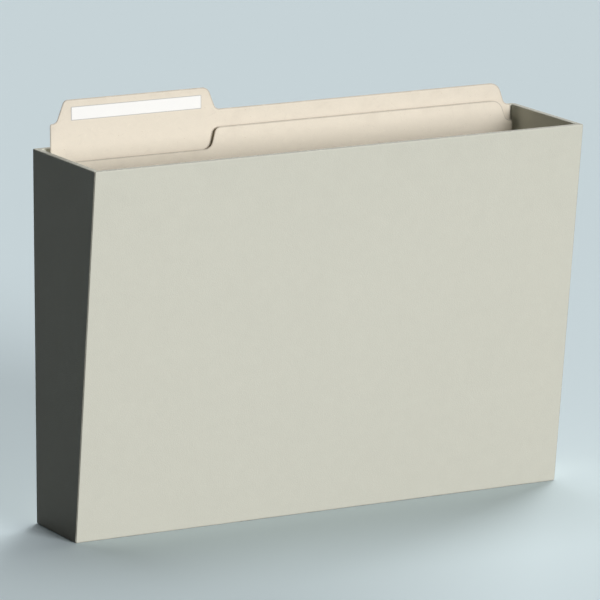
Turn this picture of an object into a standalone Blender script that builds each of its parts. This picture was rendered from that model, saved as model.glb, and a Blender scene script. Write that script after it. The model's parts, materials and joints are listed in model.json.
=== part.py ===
"""Wall chart holder with one file folder standing in it.

The holder is an open-topped pocket of five flat panels with mitred edges: a
vertical back, a front that leans out towards the rim, a floor and two tapered
end walls. The back has two keyholes for wall screws. The folder is card: a back
leaf with a raised tab, a front leaf that swings on its score line, the rounded
fold between them and a paper label on the tab.

Frame: metres, +X to the right, +Y into the wall, +Z up. The origin is the
centre of the back panel's outer face.
"""

import math

import bmesh
import bpy
import numpy as np
from mathutils import Vector

MM = 0.001

# Folder, folded shut: the pocket is sized for it
FOLDER_WIDTH = 298.45 * MM
FOLDER_HEIGHT = 241.3 * MM
CARD_THICKNESS = 0.46 * MM
LEAF_PITCH = 2.2 * MM
SCORE_GAP = 0.3 * MM

# Cut edges of the two leaves
BACK_STEP = 13.1 * MM
FRONT_BELOW_TAB = 23.1 * MM
FRONT_STEP = 12.2 * MM
STEP_INSET = 6.3 * MM
TAB_CUT = 101.8 * MM
STEP_RUN = 5.0 * MM
FRONT_STEP_RUN = 3.0 * MM
END_STEP_RUN = 4.3 * MM
TAB_START_RADIUS = 3.4 * MM
CUT_LEFT_RADIUS = 5.2 * MM
CUT_RIGHT_RADIUS = 3.7 * MM
END_TOP_RADIUS = 7.4 * MM
END_FOOT_RADIUS = 4.0 * MM
SHOULDER_RADIUS = 1.2 * MM
LEAF_BOTTOM_RADIUS = 0.8 * MM

# Label on the tab
LABEL_MARGIN = 4.15 * MM
LABEL_HEIGHT = 7.9 * MM
LABEL_THICKNESS = 0.15 * MM
LABEL_GAP = 0.3 * MM

# Holder: panels, room round the folder, and depths from front to back
PANEL_THICKNESS = 3.6 * MM
SEAM_GAP = 0.3 * MM
PANEL_EDGE_RADIUS = 0.4 * MM
SIDE_CLEARANCE = 3.575 * MM
REAR_CLEARANCE = 4.3 * MM
FLOOR_CLEARANCE = 0.3 * MM
TAB_ABOVE_RIM = 27.6 * MM
RIM_DEPTH = 80.2 * MM
FLOOR_DEPTH = 51.4 * MM

# Keyholes in the back panel: a screw head enters below and its neck slides up
KEYHOLE_SPACING = 203.2 * MM
KEYHOLE_BELOW_RIM = 38.0 * MM
KEYHOLE_ENTRY_DIAMETER = 11.0 * MM
KEYHOLE_SLOT_WIDTH = 5.2 * MM
KEYHOLE_RISE = 12.0 * MM
CUT_OVERRUN = 2.0 * MM

# Segments of round shapes
PANEL_EDGE_STEPS = 2
KEYHOLE_STEPS = 16
CORNER_STEPS = 6
FOLD_STEPS = 12
SMOOTH_ANGLE = math.radians(40)

# Places worked out from the sizes above
HOLDER_WIDTH = FOLDER_WIDTH + 2 * (SIDE_CLEARANCE + PANEL_THICKNESS)
HOLDER_HEIGHT = PANEL_THICKNESS + FLOOR_CLEARANCE + FOLDER_HEIGHT - TAB_ABOVE_RIM
HALF_WIDTH = HOLDER_WIDTH / 2
HALF_HEIGHT = HOLDER_HEIGHT / 2
HALF_FOLDER = FOLDER_WIDTH / 2
FOLDER_BASE = PANEL_THICKNESS + FLOOR_CLEARANCE - HALF_HEIGHT
FOLD_RADIUS = (LEAF_PITCH + CARD_THICKNESS) / 2
LEAF_BOTTOM = FOLD_RADIUS + SCORE_GAP
BACK_LEAF_REAR = -PANEL_THICKNESS - REAR_CLEARANCE
FRONT_LEAF_REAR = BACK_LEAF_REAR - LEAF_PITCH
CREASE_Y = FRONT_LEAF_REAR - CARD_THICKNESS / 2
CREASE_Z = FOLDER_BASE + FOLD_RADIUS + SCORE_GAP / 2
TAB_LEFT = STEP_INSET - HALF_FOLDER
TAB_RIGHT = TAB_CUT - HALF_FOLDER
END_STEP = HALF_FOLDER - STEP_INSET

# Sloping steps in the leaves' top edges: middle, run, and the radii of the left and right corners
TAB_START = (TAB_LEFT, STEP_RUN, TAB_START_RADIUS, TAB_START_RADIUS)
TAB_END = (TAB_RIGHT, STEP_RUN, CUT_LEFT_RADIUS, CUT_RIGHT_RADIUS)
FRONT_RISE = (TAB_RIGHT, FRONT_STEP_RUN, CUT_LEFT_RADIUS, CUT_RIGHT_RADIUS)
LEAF_END = (END_STEP, END_STEP_RUN, END_TOP_RADIUS, END_FOOT_RADIUS)

# Finishes: colour, roughness
PANEL_FINISH = ((0.610, 0.610, 0.527, 1.0), 0.55)
CARD_FINISH = ((0.830, 0.755, 0.640, 1.0), 0.85)
LABEL_FINISH = ((0.930, 0.925, 0.910, 1.0), 0.60)


# Scene and object helpers

def clear_scene():
    """Remove every object that the opened file holds."""
    for scene_object in list(bpy.data.objects):
        bpy.data.objects.remove(scene_object, do_unlink=True)


def make_finish(name, finish):
    """A plain Principled material of one colour and roughness."""
    colour, roughness = finish
    material = bpy.data.materials.new(name)
    material.use_nodes = True
    shader = material.node_tree.nodes["Principled BSDF"]
    shader.inputs["Base Color"].default_value = colour
    shader.inputs["Roughness"].default_value = roughness
    shader.inputs["Metallic"].default_value = 0
    material.diffuse_color = colour
    return material


def add_object(name, builder, finish, parent):
    """Turn a bmesh into a named object with its own material."""
    bmesh.ops.recalc_face_normals(builder, faces=builder.faces)
    mesh = bpy.data.meshes.new(name)
    builder.to_mesh(mesh)
    builder.free()
    mesh.shade_smooth()
    mesh.set_sharp_from_angle(angle=SMOOTH_ANGLE)
    mesh.materials.append(make_finish(name, finish))
    made = bpy.data.objects.new(name, mesh)
    bpy.context.collection.objects.link(made)
    made.parent = parent
    return made


def add_pivot(name, location, parent=None):
    """An empty that carries the pieces of one body."""
    pivot = bpy.data.objects.new(name, None)
    bpy.context.collection.objects.link(pivot)
    pivot.location = location
    pivot.parent = parent
    return pivot


def skin(near, far):
    """Closed solid between two like rings of points."""
    builder = bmesh.new()
    near = [builder.verts.new(point) for point in near]
    far = [builder.verts.new(point) for point in far]
    builder.faces.new(near)
    builder.faces.new(list(reversed(far)))
    for index in range(len(near)):
        previous = index - 1
        builder.faces.new((near[previous], far[previous], far[index], near[index]))
    return builder


def prism(outline, sweep):
    """Closed solid: a flat outline of points swept along one vector."""
    return skin(outline, [Vector(point) + Vector(sweep) for point in outline])


# Outlines

def arc(centre, radius, start, end, steps):
    """Points on a circle of the plane from one angle to another, both included."""
    turns = [start + (end - start) * step / steps for step in range(steps + 1)]
    return [(centre[0] + radius * math.cos(turn), centre[1] + radius * math.sin(turn)) for turn in turns]


def round_corner(before, corner, after, radius):
    """The arc that replaces one corner of an outline, tangent to both its sides."""
    corner = np.array(corner)
    back = np.array(before) - corner
    ahead = np.array(after) - corner
    back /= np.linalg.norm(back)
    ahead /= np.linalg.norm(ahead)
    half_opening = math.acos(np.clip(np.dot(back, ahead), -1, 1)) / 2
    bisector = (back + ahead) / np.linalg.norm(back + ahead)
    centre = corner + bisector * radius / math.sin(half_opening)
    reach = radius / math.tan(half_opening)
    first = corner + back * reach - centre
    last = corner + ahead * reach - centre
    start = math.atan2(first[1], first[0])
    sweep = math.remainder(math.atan2(last[1], last[0]) - start, math.tau)
    return arc(centre, radius, start, start + sweep, CORNER_STEPS)


def rounded_outline(corners):
    """Outline through (across, up, radius) corners, each rounded by its radius."""
    points = []
    for index, (across, up, radius) in enumerate(corners):
        before = corners[index - 1][:2]
        after = corners[(index + 1) % len(corners)][:2]
        points += round_corner(before, (across, up), after, radius)
    return points


# Panels: each is the slab between its outer face and the same plane moved inwards,
# trimmed by the mitre planes that it shares with its neighbours and by the rim

def plane(normal, point):
    """A plane as its unit outward normal and its distance from the origin."""
    unit = np.array(normal, dtype=float)
    unit /= np.linalg.norm(unit)
    return unit, float(np.dot(unit, point))


def mitre(face, neighbour):
    """The plane that ends a panel where it meets its neighbour, half a seam short."""
    across = neighbour[0] - face[0]
    length = np.linalg.norm(across)
    return across / length, (neighbour[1] - face[1]) / length - SEAM_GAP / 2


def meeting_point(*planes):
    """The point that three planes share."""
    normals = np.array([normal for normal, distance in planes])
    distances = np.array([distance for normal, distance in planes])
    return np.linalg.solve(normals, distances)


def holder_faces():
    """The outer faces of the holder and its rim plane."""
    front_normal = (0, -HOLDER_HEIGHT, FLOOR_DEPTH - RIM_DEPTH)
    return {
        "back": plane((0, 1, 0), (0, 0, 0)),
        "front": plane(front_normal, (0, -RIM_DEPTH, HALF_HEIGHT)),
        "bottom": plane((0, 0, -1), (0, 0, -HALF_HEIGHT)),
        "left": plane((-1, 0, 0), (-HALF_WIDTH, 0, 0)),
        "right": plane((1, 0, 0), (HALF_WIDTH, 0, 0)),
        "rim": plane((0, 0, 1), (0, 0, HALF_HEIGHT)),
    }


def panel_solid(faces, side, ring):
    """One panel, with an edge towards each face that the ring names."""
    outer = faces[side]
    inner = (outer[0], outer[1] - PANEL_THICKNESS)
    edges = [faces[name] if name == "rim" else mitre(outer, faces[name]) for name in ring]
    corners = [
        [meeting_point(face, edges[index - 1], edges[index]) for index in range(len(edges))]
        for face in (outer, inner)
    ]
    return skin(*corners)


def ease_edges(panel):
    """Round a panel's sharp edges slightly, as a sanded sheet's are."""
    bevel = panel.modifiers.new("eased_edges", "BEVEL")
    bevel.width = PANEL_EDGE_RADIUS
    bevel.segments = PANEL_EDGE_STEPS
    bevel.limit_method = "ANGLE"


def add_panel(faces, side, name, ring, parent):
    panel = add_object(name, panel_solid(faces, side, ring), PANEL_FINISH, parent)
    ease_edges(panel)
    return panel


# Keyholes

def keyhole_outline(middle):
    """A round entry with a narrower slot that rises from it to a round end."""
    slot_radius = KEYHOLE_SLOT_WIDTH / 2
    entry_radius = KEYHOLE_ENTRY_DIAMETER / 2
    slot_end = (middle, HALF_HEIGHT - KEYHOLE_BELOW_RIM)
    entry = (middle, slot_end[1] - KEYHOLE_RISE)
    shoulder = math.acos(slot_radius / entry_radius)
    top = arc(slot_end, slot_radius, 0, math.pi, KEYHOLE_STEPS)
    bowl = arc(entry, entry_radius, math.pi - shoulder, math.tau + shoulder, KEYHOLE_STEPS)
    return top + bowl


def cut_keyhole(panel, name, middle, parent):
    """Cut one keyhole through the panel with a hidden cutter."""
    outline = [(across, CUT_OVERRUN, up) for across, up in keyhole_outline(middle)]
    through = (0, -PANEL_THICKNESS - 2 * CUT_OVERRUN, 0)
    cutter = add_object(name, prism(outline, through), PANEL_FINISH, parent)
    cutter.hide_render = True
    cutter.display_type = "WIRE"
    cut = panel.modifiers.new(name, "BOOLEAN")
    cut.operation = "DIFFERENCE"
    cut.solver = "EXACT"
    cut.object = cutter


def make_holder():
    """The five panels of the pocket."""
    holder = add_pivot("holder", (0, 0, 0))
    faces = holder_faces()
    back = add_panel(faces, "back", "back_panel", ("left", "bottom", "right", "rim"), holder)
    cut_keyhole(back, "left_keyhole_cutter", -KEYHOLE_SPACING / 2, holder)
    cut_keyhole(back, "right_keyhole_cutter", KEYHOLE_SPACING / 2, holder)
    add_panel(faces, "front", "front_panel", ("left", "bottom", "right", "rim"), holder)
    add_panel(faces, "bottom", "bottom_panel", ("left", "back", "right", "front"), holder)
    add_panel(faces, "left", "left_end_panel", ("front", "bottom", "back", "rim"), holder)
    add_panel(faces, "right", "right_end_panel", ("front", "bottom", "back", "rim"), holder)
    return holder


# Folder: outlines run clockwise from the lower left corner, in (across, up) from
# the middle of the folder's bottom

def leaf_outline(levels, steps):
    """A leaf's outline from its top edge's levels and the sloping steps between them."""
    corners = [
        (-HALF_FOLDER, LEAF_BOTTOM, LEAF_BOTTOM_RADIUS),
        (-HALF_FOLDER, levels[0], SHOULDER_RADIUS),
    ]
    for (middle, run, left_radius, right_radius), before, after in zip(steps, levels[:-1], levels[1:]):
        corners += [(middle - run / 2, before, left_radius), (middle + run / 2, after, right_radius)]
    corners += [
        (HALF_FOLDER, levels[-1], SHOULDER_RADIUS),
        (HALF_FOLDER, LEAF_BOTTOM, LEAF_BOTTOM_RADIUS),
    ]
    return rounded_outline(corners)


def back_leaf_outline():
    """Shoulder, tab, body and lower right shoulder of the back leaf."""
    body = FOLDER_HEIGHT - BACK_STEP
    levels = (body, FOLDER_HEIGHT, body, body - BACK_STEP)
    return leaf_outline(levels, (TAB_START, TAB_END, LEAF_END))


def front_leaf_outline():
    """The front leaf: low under the tab, high beside it, low again at the right end."""
    high = FOLDER_HEIGHT - FRONT_BELOW_TAB
    low = high - FRONT_STEP
    return leaf_outline((low, high, low), (FRONT_RISE, LEAF_END))


def add_leaf(name, outline, rear, parent):
    """A flat leaf of card, given the place of its rear face."""
    points = [(across, rear, up) for across, up in outline]
    return add_object(name, prism(points, (0, -CARD_THICKNESS, 0)), CARD_FINISH, parent)


def add_bottom_fold(parent):
    """Half ring of card between the score lines, open at the top, its ends under the leaves."""
    centre = (BACK_LEAF_REAR - FOLD_RADIUS, FOLD_RADIUS)
    outer = arc(centre, FOLD_RADIUS, -math.pi, 0, FOLD_STEPS)
    inner = arc(centre, FOLD_RADIUS - CARD_THICKNESS, 0, -math.pi, FOLD_STEPS)
    section = [(-HALF_FOLDER, back, up) for back, up in outer + inner]
    return add_object("folder_bottom_fold", prism(section, (FOLDER_WIDTH, 0, 0)), CARD_FINISH, parent)


def add_label(parent):
    """The paper label, with one margin to the tab's top and to both its slopes."""
    left = TAB_LEFT + STEP_RUN / 2 + LABEL_MARGIN
    right = TAB_RIGHT - STEP_RUN / 2 - LABEL_MARGIN
    top = FOLDER_HEIGHT - LABEL_MARGIN
    bottom = top - LABEL_HEIGHT
    rear = BACK_LEAF_REAR - CARD_THICKNESS - LABEL_GAP
    points = [(left, rear, bottom), (left, rear, top), (right, rear, top), (right, rear, bottom)]
    return add_object("folder_label", prism(points, (0, -LABEL_THICKNESS, 0)), LABEL_FINISH, parent)


def make_folder(holder):
    """The folder lifts straight up, and its front leaf swings on the front score line."""
    folder = add_pivot("folder_lift", (0, 0, FOLDER_BASE), holder)
    add_leaf("folder_back_leaf", back_leaf_outline(), BACK_LEAF_REAR, folder)
    add_bottom_fold(folder)
    add_label(folder)
    crease = add_pivot("leaf_crease", (0, CREASE_Y, CREASE_Z - FOLDER_BASE), folder)
    outline = [(across, up + FOLDER_BASE - CREASE_Z) for across, up in front_leaf_outline()]
    add_leaf("folder_front_leaf", outline, FRONT_LEAF_REAR - CREASE_Y, crease)


clear_scene()
make_folder(make_holder())
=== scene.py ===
"""Visual model of a wall chart holder with one file folder standing in it.

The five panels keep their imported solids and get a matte, finely grained plastic.
Bond lines fill the mitre seams between them. The folder becomes one sheet of
card that bends at its fold, with score lines, and a blank label lies on its tab.

Frame: metres, +X to the right, +Y into the wall, +Z up. The file is laid out as
an add-on: settings, an operator for each group of pieces and for the stage, and
a panel in the sidebar.
"""

import json
import math

import bpy
import numpy as np
from bpy.props import FloatProperty, FloatVectorProperty, PointerProperty
from mathutils import Euler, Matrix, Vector


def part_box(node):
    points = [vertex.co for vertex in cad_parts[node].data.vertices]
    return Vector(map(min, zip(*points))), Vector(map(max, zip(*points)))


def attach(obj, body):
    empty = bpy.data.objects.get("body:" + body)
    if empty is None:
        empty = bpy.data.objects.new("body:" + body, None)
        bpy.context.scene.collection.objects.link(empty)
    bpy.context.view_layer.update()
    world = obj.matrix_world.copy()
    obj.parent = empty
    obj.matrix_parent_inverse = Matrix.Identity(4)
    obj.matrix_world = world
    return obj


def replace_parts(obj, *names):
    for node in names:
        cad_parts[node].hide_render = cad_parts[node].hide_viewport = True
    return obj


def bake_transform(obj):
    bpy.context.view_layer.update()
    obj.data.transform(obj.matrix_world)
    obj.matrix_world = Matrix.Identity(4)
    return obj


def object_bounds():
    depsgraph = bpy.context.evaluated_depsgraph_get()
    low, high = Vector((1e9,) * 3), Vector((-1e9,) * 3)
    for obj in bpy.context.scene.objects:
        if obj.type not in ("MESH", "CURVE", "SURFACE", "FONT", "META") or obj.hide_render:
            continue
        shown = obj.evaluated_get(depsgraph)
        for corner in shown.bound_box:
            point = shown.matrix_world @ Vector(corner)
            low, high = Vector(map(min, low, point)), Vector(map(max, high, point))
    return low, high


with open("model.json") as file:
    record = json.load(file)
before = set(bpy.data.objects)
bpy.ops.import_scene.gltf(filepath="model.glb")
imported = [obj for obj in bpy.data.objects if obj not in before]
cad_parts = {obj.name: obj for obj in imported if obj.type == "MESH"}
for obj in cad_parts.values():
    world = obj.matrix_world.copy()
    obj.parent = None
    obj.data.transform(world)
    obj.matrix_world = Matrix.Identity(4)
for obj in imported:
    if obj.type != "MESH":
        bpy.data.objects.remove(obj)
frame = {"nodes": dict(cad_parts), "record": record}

bl_info = {
    "name": "Chart Holder",
    "version": (1, 0, 0),
    "blender": (4, 5, 0),
    "location": "View3D > Sidebar > Chart Holder",
    "description": "Finishes a wall chart holder and the file folder that stands in it",
    "category": "Object",
}

MM = 0.001

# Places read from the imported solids
CAD_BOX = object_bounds()
HALF_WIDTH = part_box("right_end_panel")[1].x
HALF_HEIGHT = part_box("back_panel")[1].z
PANEL_THICKNESS = -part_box("back_panel")[0].y
BACK_LEAF_LOW, BACK_LEAF_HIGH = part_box("folder_back_leaf")
FRONT_LEAF_LOW, FRONT_LEAF_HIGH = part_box("folder_front_leaf")
LABEL_LOW, LABEL_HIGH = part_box("folder_label")
FOLDER_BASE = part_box("folder_bottom_fold")[0].z

# Depth of the holder from front to back, at its rim and at its foot
RIM_DEPTH = 80.2 * MM
FLOOR_DEPTH = 51.4 * MM

# Keyholes in the back panel: their middles, and how far screw heads rub round them
KEYHOLE_OFFSET = 101.6 * MM
KEYHOLE_MIDDLE_BELOW_RIM = 44.0 * MM
KEYHOLE_RUB_RADIUS = 8.5 * MM
KEYHOLE_RUB_BAND = (0.45 * KEYHOLE_RUB_RADIUS, KEYHOLE_RUB_RADIUS)
KEYHOLE_RUB_SQUASH = 0.35

# Bond lines in the mitre seams
BOND_THICKNESS = 0.26 * MM
BOND_RECESS = 0.55 * MM
BOND_FILLET = 0.75 * MM
BOND_FILLET_STEPS = 8
BOND_LENGTH_STEPS = 24

# Cut edges of the folder's leaves
BACK_STEP = 13.1 * MM
FRONT_STEP = 12.2 * MM
STEP_INSET = 6.3 * MM
TAB_CUT = 101.8 * MM
STEP_RUN = 5.0 * MM
FRONT_STEP_RUN = 3.0 * MM
END_STEP_RUN = 4.3 * MM
TAB_START_RADIUS = 3.4 * MM
CUT_LEFT_RADIUS = 5.2 * MM
CUT_RIGHT_RADIUS = 3.7 * MM
END_TOP_RADIUS = 7.4 * MM
END_FOOT_RADIUS = 4.0 * MM
SHOULDER_RADIUS = 1.2 * MM
CORNER_STEPS = 9

# Card and label as sheets
CARD_EDGE_EASE = 0.06 * MM
CARD_COLUMN_SPACING = 3.0 * MM
CARD_GRID = 0.01 * MM
LEAF_ROWS = 34
EDGE_BAND = 4.0 * MM
EDGE_ROWS = 8
FOLD_ROWS = 14
SCORE_SPACING = 6.35 * MM
SCORE_COUNT = 3
SCORE_HALF_WIDTH = 0.4 * MM
SCORE_REACH = 3
SCORE_ROWS = 11
LABEL_THICKNESS = 0.13 * MM
LABEL_EDGE_EASE = 0.02 * MM
LABEL_CORNER_RADIUS = 0.5 * MM
LABEL_LIFT = 0.03 * MM
LABEL_COLUMN_SPACING = 1.5 * MM
LABEL_ROWS = 9
SMOOTH_ANGLE = math.radians(35)

# Bow of the leaves: its even share, and two waves across with their lengths, shares and starts
BOW_EVEN_SHARE = 0.72
LONG_WAVE = 230 * MM
LONG_WAVE_SHARE = 0.2
LONG_WAVE_START = 0.6
SHORT_WAVE = 95 * MM
SHORT_WAVE_SHARE = 0.08
SHORT_WAVE_START = 1.1

# Plastic and cement: noises as cells a metre, detail and, where it is given, roughness
PLASTIC_CLOUDS = (9.0, 3.0)
PLASTIC_MOTTLE = (140.0, 3.0, 0.6)
PLASTIC_SPECKLE = (900.0, 2.0, 0.7)
PLASTIC_GRAIN = (1500.0, 3.0, 0.6)
WEAR_PATCHES = (55.0, 3.0, 0.6)
WEAR_CHIPS = (420.0, 2.0, 0.6)
MARK_PATCHES = (38.0, 2.0)
DUST_CLUMPS = (260.0, 3.0, 0.7)
CEMENT_LUMPS = (700.0, 3.0, 0.6)

# Plastic and cement: patterns of one scale, in cells a metre, and the shake of creases, in cells
PEBBLE_CELLS = 920.0
SAW_CELLS = 2300.0
VOID_CELLS = 450.0
CREASE_SHAKE_SHARE = 0.8

# Long thin marks: turn, cells a metre across and along, and width as a level of the noise
SLIDE_MARKS = ((0, 0, 0), 420.0, 9.0, 0.012)
SCUFFS = ((0.1, 0.9, 0.0), 330.0, 16.0, 0.007)
NICKS = ((-0.2, -0.5, 0.4), 520.0, 26.0, 0.006)

# Distances over which wear, dirt and the rim's painted shade on the plastic change, from a face, an edge or
# a seam
EDGE_RUB = 0.55 * MM
EDGE_RUB_WANDER = 1.6 * MM
MOUTH_BAND = (0, 1.1 * MM)
SAWN_BAND = (0.05 * MM, 0.3 * MM)
SEAM_SOIL_BAND = (0.1 * MM, 0.75 * MM)
HANDLED_BAND = (8 * MM, 60 * MM)
SLIDE_BAND = (20 * MM, 120 * MM)
INSIDE_BAND = (0.7 * PANEL_THICKNESS, 0.9 * PANEL_THICKNESS)
BACK_PANEL_BAND = (1.2 * PANEL_THICKNESS, 1.5 * PANEL_THICKNESS)
DUST_BAND = (1.3 * PANEL_THICKNESS, 6 * PANEL_THICKNESS)

# Card and paper: noises as above, and drawn-out fibres as cells a metre on each axis
CARD_CLOUDS = (24.0, 3.0)
CARD_MOTTLE = (210.0, 4.0, 0.65)
CARD_TOOTH = (1500.0, 3.0, 0.65)
CARD_FLECKS = (1150.0, 1.0)
CARD_SOIL = (46.0, 4.0, 0.6)
CARD_BURR = (900.0, 2.0)
CARD_EDGE_SOIL_AND_SHADE = (130.0, 2.0)
STRAW_CELLS = (520, 90, 1)
STRAW_TURNS = (0.35, 1.2, 2.3)
PALE_STRAW_CELLS = (610, 230, 1)
PALE_STRAW_TURN = 0.8
LABEL_CLOUDS = (60.0, 3.0)
LABEL_TOOTH = (1800.0, 3.0, 0.6)
LABEL_STRAND_CELLS = (700, 160, 1)
LABEL_STRAND_TURN = 0.6
BORDER_INK = (900.0, 2.0)

# Distances from the card's cut edge and the label's, over which their looks change
SOILED_BAND = (1.5 * MM, 16 * MM)
CUT_BAND = (0.02 * MM, 0.07 * MM)
BURR_BAND = (0.05 * MM, 0.5 * MM)
EDGE_SOIL_AND_SHADE_BAND = (0.3 * MM, 0.8 * MM)
BORDER_BAND = (0.36 * MM, 0.44 * MM)

# Heights of the relief of cement, card and label
CEMENT_RELIEF = 0.05 * MM
CARD_RELIEF = 0.03 * MM
LABEL_RELIEF = 0.014 * MM

# Colours of dirt (on the panels' rim also painted shade), flecks, the label's border, and the floor and
# background as the object's surfaces see them
GRIME_AND_RIM_SHADE_COLOUR = (0.36, 0.34, 0.29)
FLECK_COLOUR = (0.38, 0.25, 0.13)
HAND_SOIL_COLOUR = (0.55, 0.47, 0.37)
BORDER_COLOUR = (0.24, 0.23, 0.21)
DIM_FLOOR_COLOUR = (0.07, 0.07, 0.07)
FILL_COLOUR = (1, 1, 1)

# Sockets by number: the Mix node's for colours, and the Attribute node's single number
MIX_SHARE, MIX_FIRST, MIX_SECOND, MIX_RESULT = 0, 6, 7, 2
ATTRIBUTE_NUMBER = 2

# Camera at the photograph's viewing angle
CAMERA_PLACE = (-1463.3 * MM, -2778.0 * MM, 682.1 * MM)
CAMERA_TURN = math.radians(-28.003)
CAMERA_DIP = math.radians(12.155)
CAMERA_LENS = 332.57
CAMERA_NEAR = 0.1
CAMERA_FAR = 60.0

# Stage: lights as azimuth, elevation and softness in degrees, 0 from the front and 90 from the right
FLOOR_REACH = 12.0
FLOOR_LINES = 3
LIGHTS = {
    "key": (15, 12, 28),
    "back": (130, 20, 30),
    "top": (150, 75, 30),
}

# Places worked out from the sizes above
CARD_THICKNESS = BACK_LEAF_HIGH.y - BACK_LEAF_LOW.y
BACK_SHEET = (BACK_LEAF_LOW.y + BACK_LEAF_HIGH.y) / 2
FRONT_SHEET = (FRONT_LEAF_LOW.y + FRONT_LEAF_HIGH.y) / 2
FOLD_RADIUS = (BACK_SHEET - FRONT_SHEET) / 2
FOLD_MIDDLE = (BACK_SHEET + FRONT_SHEET) / 2
FOLD_CENTRE = FOLDER_BASE + FOLD_RADIUS + CARD_THICKNESS / 2
SCORE_LINES = FOLD_CENTRE + SCORE_SPACING * np.arange(1, SCORE_COUNT + 1)
HALF_FOLDER = BACK_LEAF_HIGH.x
LABEL_WIDTH = LABEL_HIGH.x - LABEL_LOW.x
LABEL_HEIGHT = LABEL_HIGH.z - LABEL_LOW.z
TAB_LEFT = STEP_INSET - HALF_FOLDER
TAB_RIGHT = TAB_CUT - HALF_FOLDER
END_STEP = HALF_FOLDER - STEP_INSET

# Sloping steps in the leaves' top edges: middle, run, and the radii of the left and right corners
TAB_START = (TAB_LEFT, STEP_RUN, TAB_START_RADIUS, TAB_START_RADIUS)
TAB_END = (TAB_RIGHT, STEP_RUN, CUT_LEFT_RADIUS, CUT_RIGHT_RADIUS)
FRONT_RISE = (TAB_RIGHT, FRONT_STEP_RUN, CUT_LEFT_RADIUS, CUT_RIGHT_RADIUS)
LEAF_END = (END_STEP, END_STEP_RUN, END_TOP_RADIUS, END_FOOT_RADIUS)


def slot_colour(slot):
    """Base colour of one of the record's material slots."""
    for material in frame["record"]["materials"]:
        if material["slot"] == slot:
            return tuple(material["base_color"])
    raise ValueError("the packed record has no material slot named " + slot)


# Settings

class PanelSettings(bpy.types.PropertyGroup):
    """Finish of the holder's panels and of the bond lines between them."""

    colour: FloatVectorProperty(
        name="Plastic colour",
        description="Colour of the panels",
        default=slot_colour("panel_plastic"),
        subtype="COLOR",
        min=0,
        max=1,
    )
    grain_depth: FloatProperty(
        name="Grain depth",
        description="Height of the fine grain on the panels' faces",
        default=0.04 * MM,
        min=0,
        max=0.2 * MM,
        precision=6,
        unit="LENGTH",
    )
    wear: FloatProperty(
        name="Wear",
        description="How far the panels' edges are rubbed and their faces scuffed",
        default=0.5,
        min=0,
        max=1,
        subtype="FACTOR",
    )


class FolderSettings(bpy.types.PropertyGroup):
    """Card and label of the file folder."""

    card_colour: FloatVectorProperty(
        name="Card colour",
        description="Colour of the folder's card",
        default=slot_colour("manila_card"),
        subtype="COLOR",
        min=0,
        max=1,
    )
    label_colour: FloatVectorProperty(
        name="Label colour",
        description="Colour of the blank label",
        default=slot_colour("label_paper"),
        subtype="COLOR",
        min=0,
        max=1,
    )
    bow: FloatProperty(
        name="Bow",
        description="How far the front leaf bows forwards at its top edge",
        default=0.4 * MM,
        min=0,
        max=6 * MM,
        precision=5,
        unit="LENGTH",
    )
    score_depth: FloatProperty(
        name="Score depth",
        description="Depth of the score lines above the fold",
        default=0.1 * MM,
        min=0,
        max=0.3 * MM,
        precision=6,
        unit="LENGTH",
    )


class StageSettings(bpy.types.PropertyGroup):
    """Floor, background and light."""

    backdrop: FloatVectorProperty(
        name="Backdrop colour",
        description="Colour of the floor and of the background",
        default=(0.565, 0.651, 0.680),
        subtype="COLOR",
        min=0,
        max=1,
    )
    key_level: FloatProperty(
        name="Key light",
        description="Strength of the key light, where 1 lights a facing white surface to white",
        default=1.02,
        min=0,
        max=5,
    )
    back_level: FloatProperty(
        name="Back light",
        description="Strength of the light from behind, on the same scale",
        default=0.75,
        min=0,
        max=5,
    )
    top_level: FloatProperty(
        name="Top light",
        description="Strength of the light from above, on the same scale",
        default=0.35,
        min=0,
        max=5,
    )
    fill_level: FloatProperty(
        name="Fill",
        description="Strength of the even light from all round, on the same scale",
        default=0.02,
        min=0,
        max=1,
    )


# Surface mathematics: values that vary over a surface are written as expressions

class Reading:
    """A number that varies over a surface. Arithmetic on it adds Math nodes."""

    def __init__(self, finish, socket):
        self.finish = finish
        self.socket = socket

    def __add__(self, other):
        return self.finish.math("ADD", self, other)

    __radd__ = __add__

    def __sub__(self, other):
        return self.finish.math("SUBTRACT", self, other)

    def __rsub__(self, other):
        return self.finish.math("SUBTRACT", other, self)

    def __mul__(self, other):
        return self.finish.math("MULTIPLY", self, other)

    __rmul__ = __mul__

    def __neg__(self):
        return self * -1

    def __abs__(self):
        return self.finish.math("ABSOLUTE", self)

    def least(self, other):
        """The smaller of two numbers."""
        return self.finish.math("MINIMUM", self, other)

    def most(self, other):
        """The larger of two numbers."""
        return self.finish.math("MAXIMUM", self, other)

    def rising(self, low, high):
        """Nought up to low, one from high, and a smooth rise between them."""
        settings = {"interpolation_type": "SMOOTHSTEP"}
        inputs = {"Value": self, "From Min": low, "From Max": high}
        return self.finish.reading("ShaderNodeMapRange", settings, inputs)

    def falling(self, low, high):
        """One up to low, nought from high, and a smooth fall between them."""
        return 1 - self.rising(low, high)


class Nodes:
    """A node tree, and the one way in which nodes are added to it."""

    def __init__(self, tree):
        self.tree = tree

    def feed(self, socket, value):
        """Give a socket a link or a value of its own."""
        value = value.socket if isinstance(value, Reading) else value
        if isinstance(value, bpy.types.NodeSocket):
            self.tree.links.new(value, socket)
        else:
            socket.default_value = value

    def node(self, kind, settings=None, inputs=None):
        """Add a node: its settings first, then the values or links of its sockets."""
        made = self.tree.nodes.new(kind)
        for name, value in (settings or {}).items():
            setattr(made, name, value)
        for name, value in (inputs or {}).items():
            self.feed(made.inputs[name], value)
        return made

    def reading(self, kind, settings=None, inputs=None, output=0):
        """Add a node and read one number from it."""
        return Reading(self, self.node(kind, settings, inputs).outputs[output])

    def math(self, operation, *values):
        """Add a Math node on numbers or readings."""
        return self.reading("ShaderNodeMath", {"operation": operation}, dict(enumerate(values)))


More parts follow.
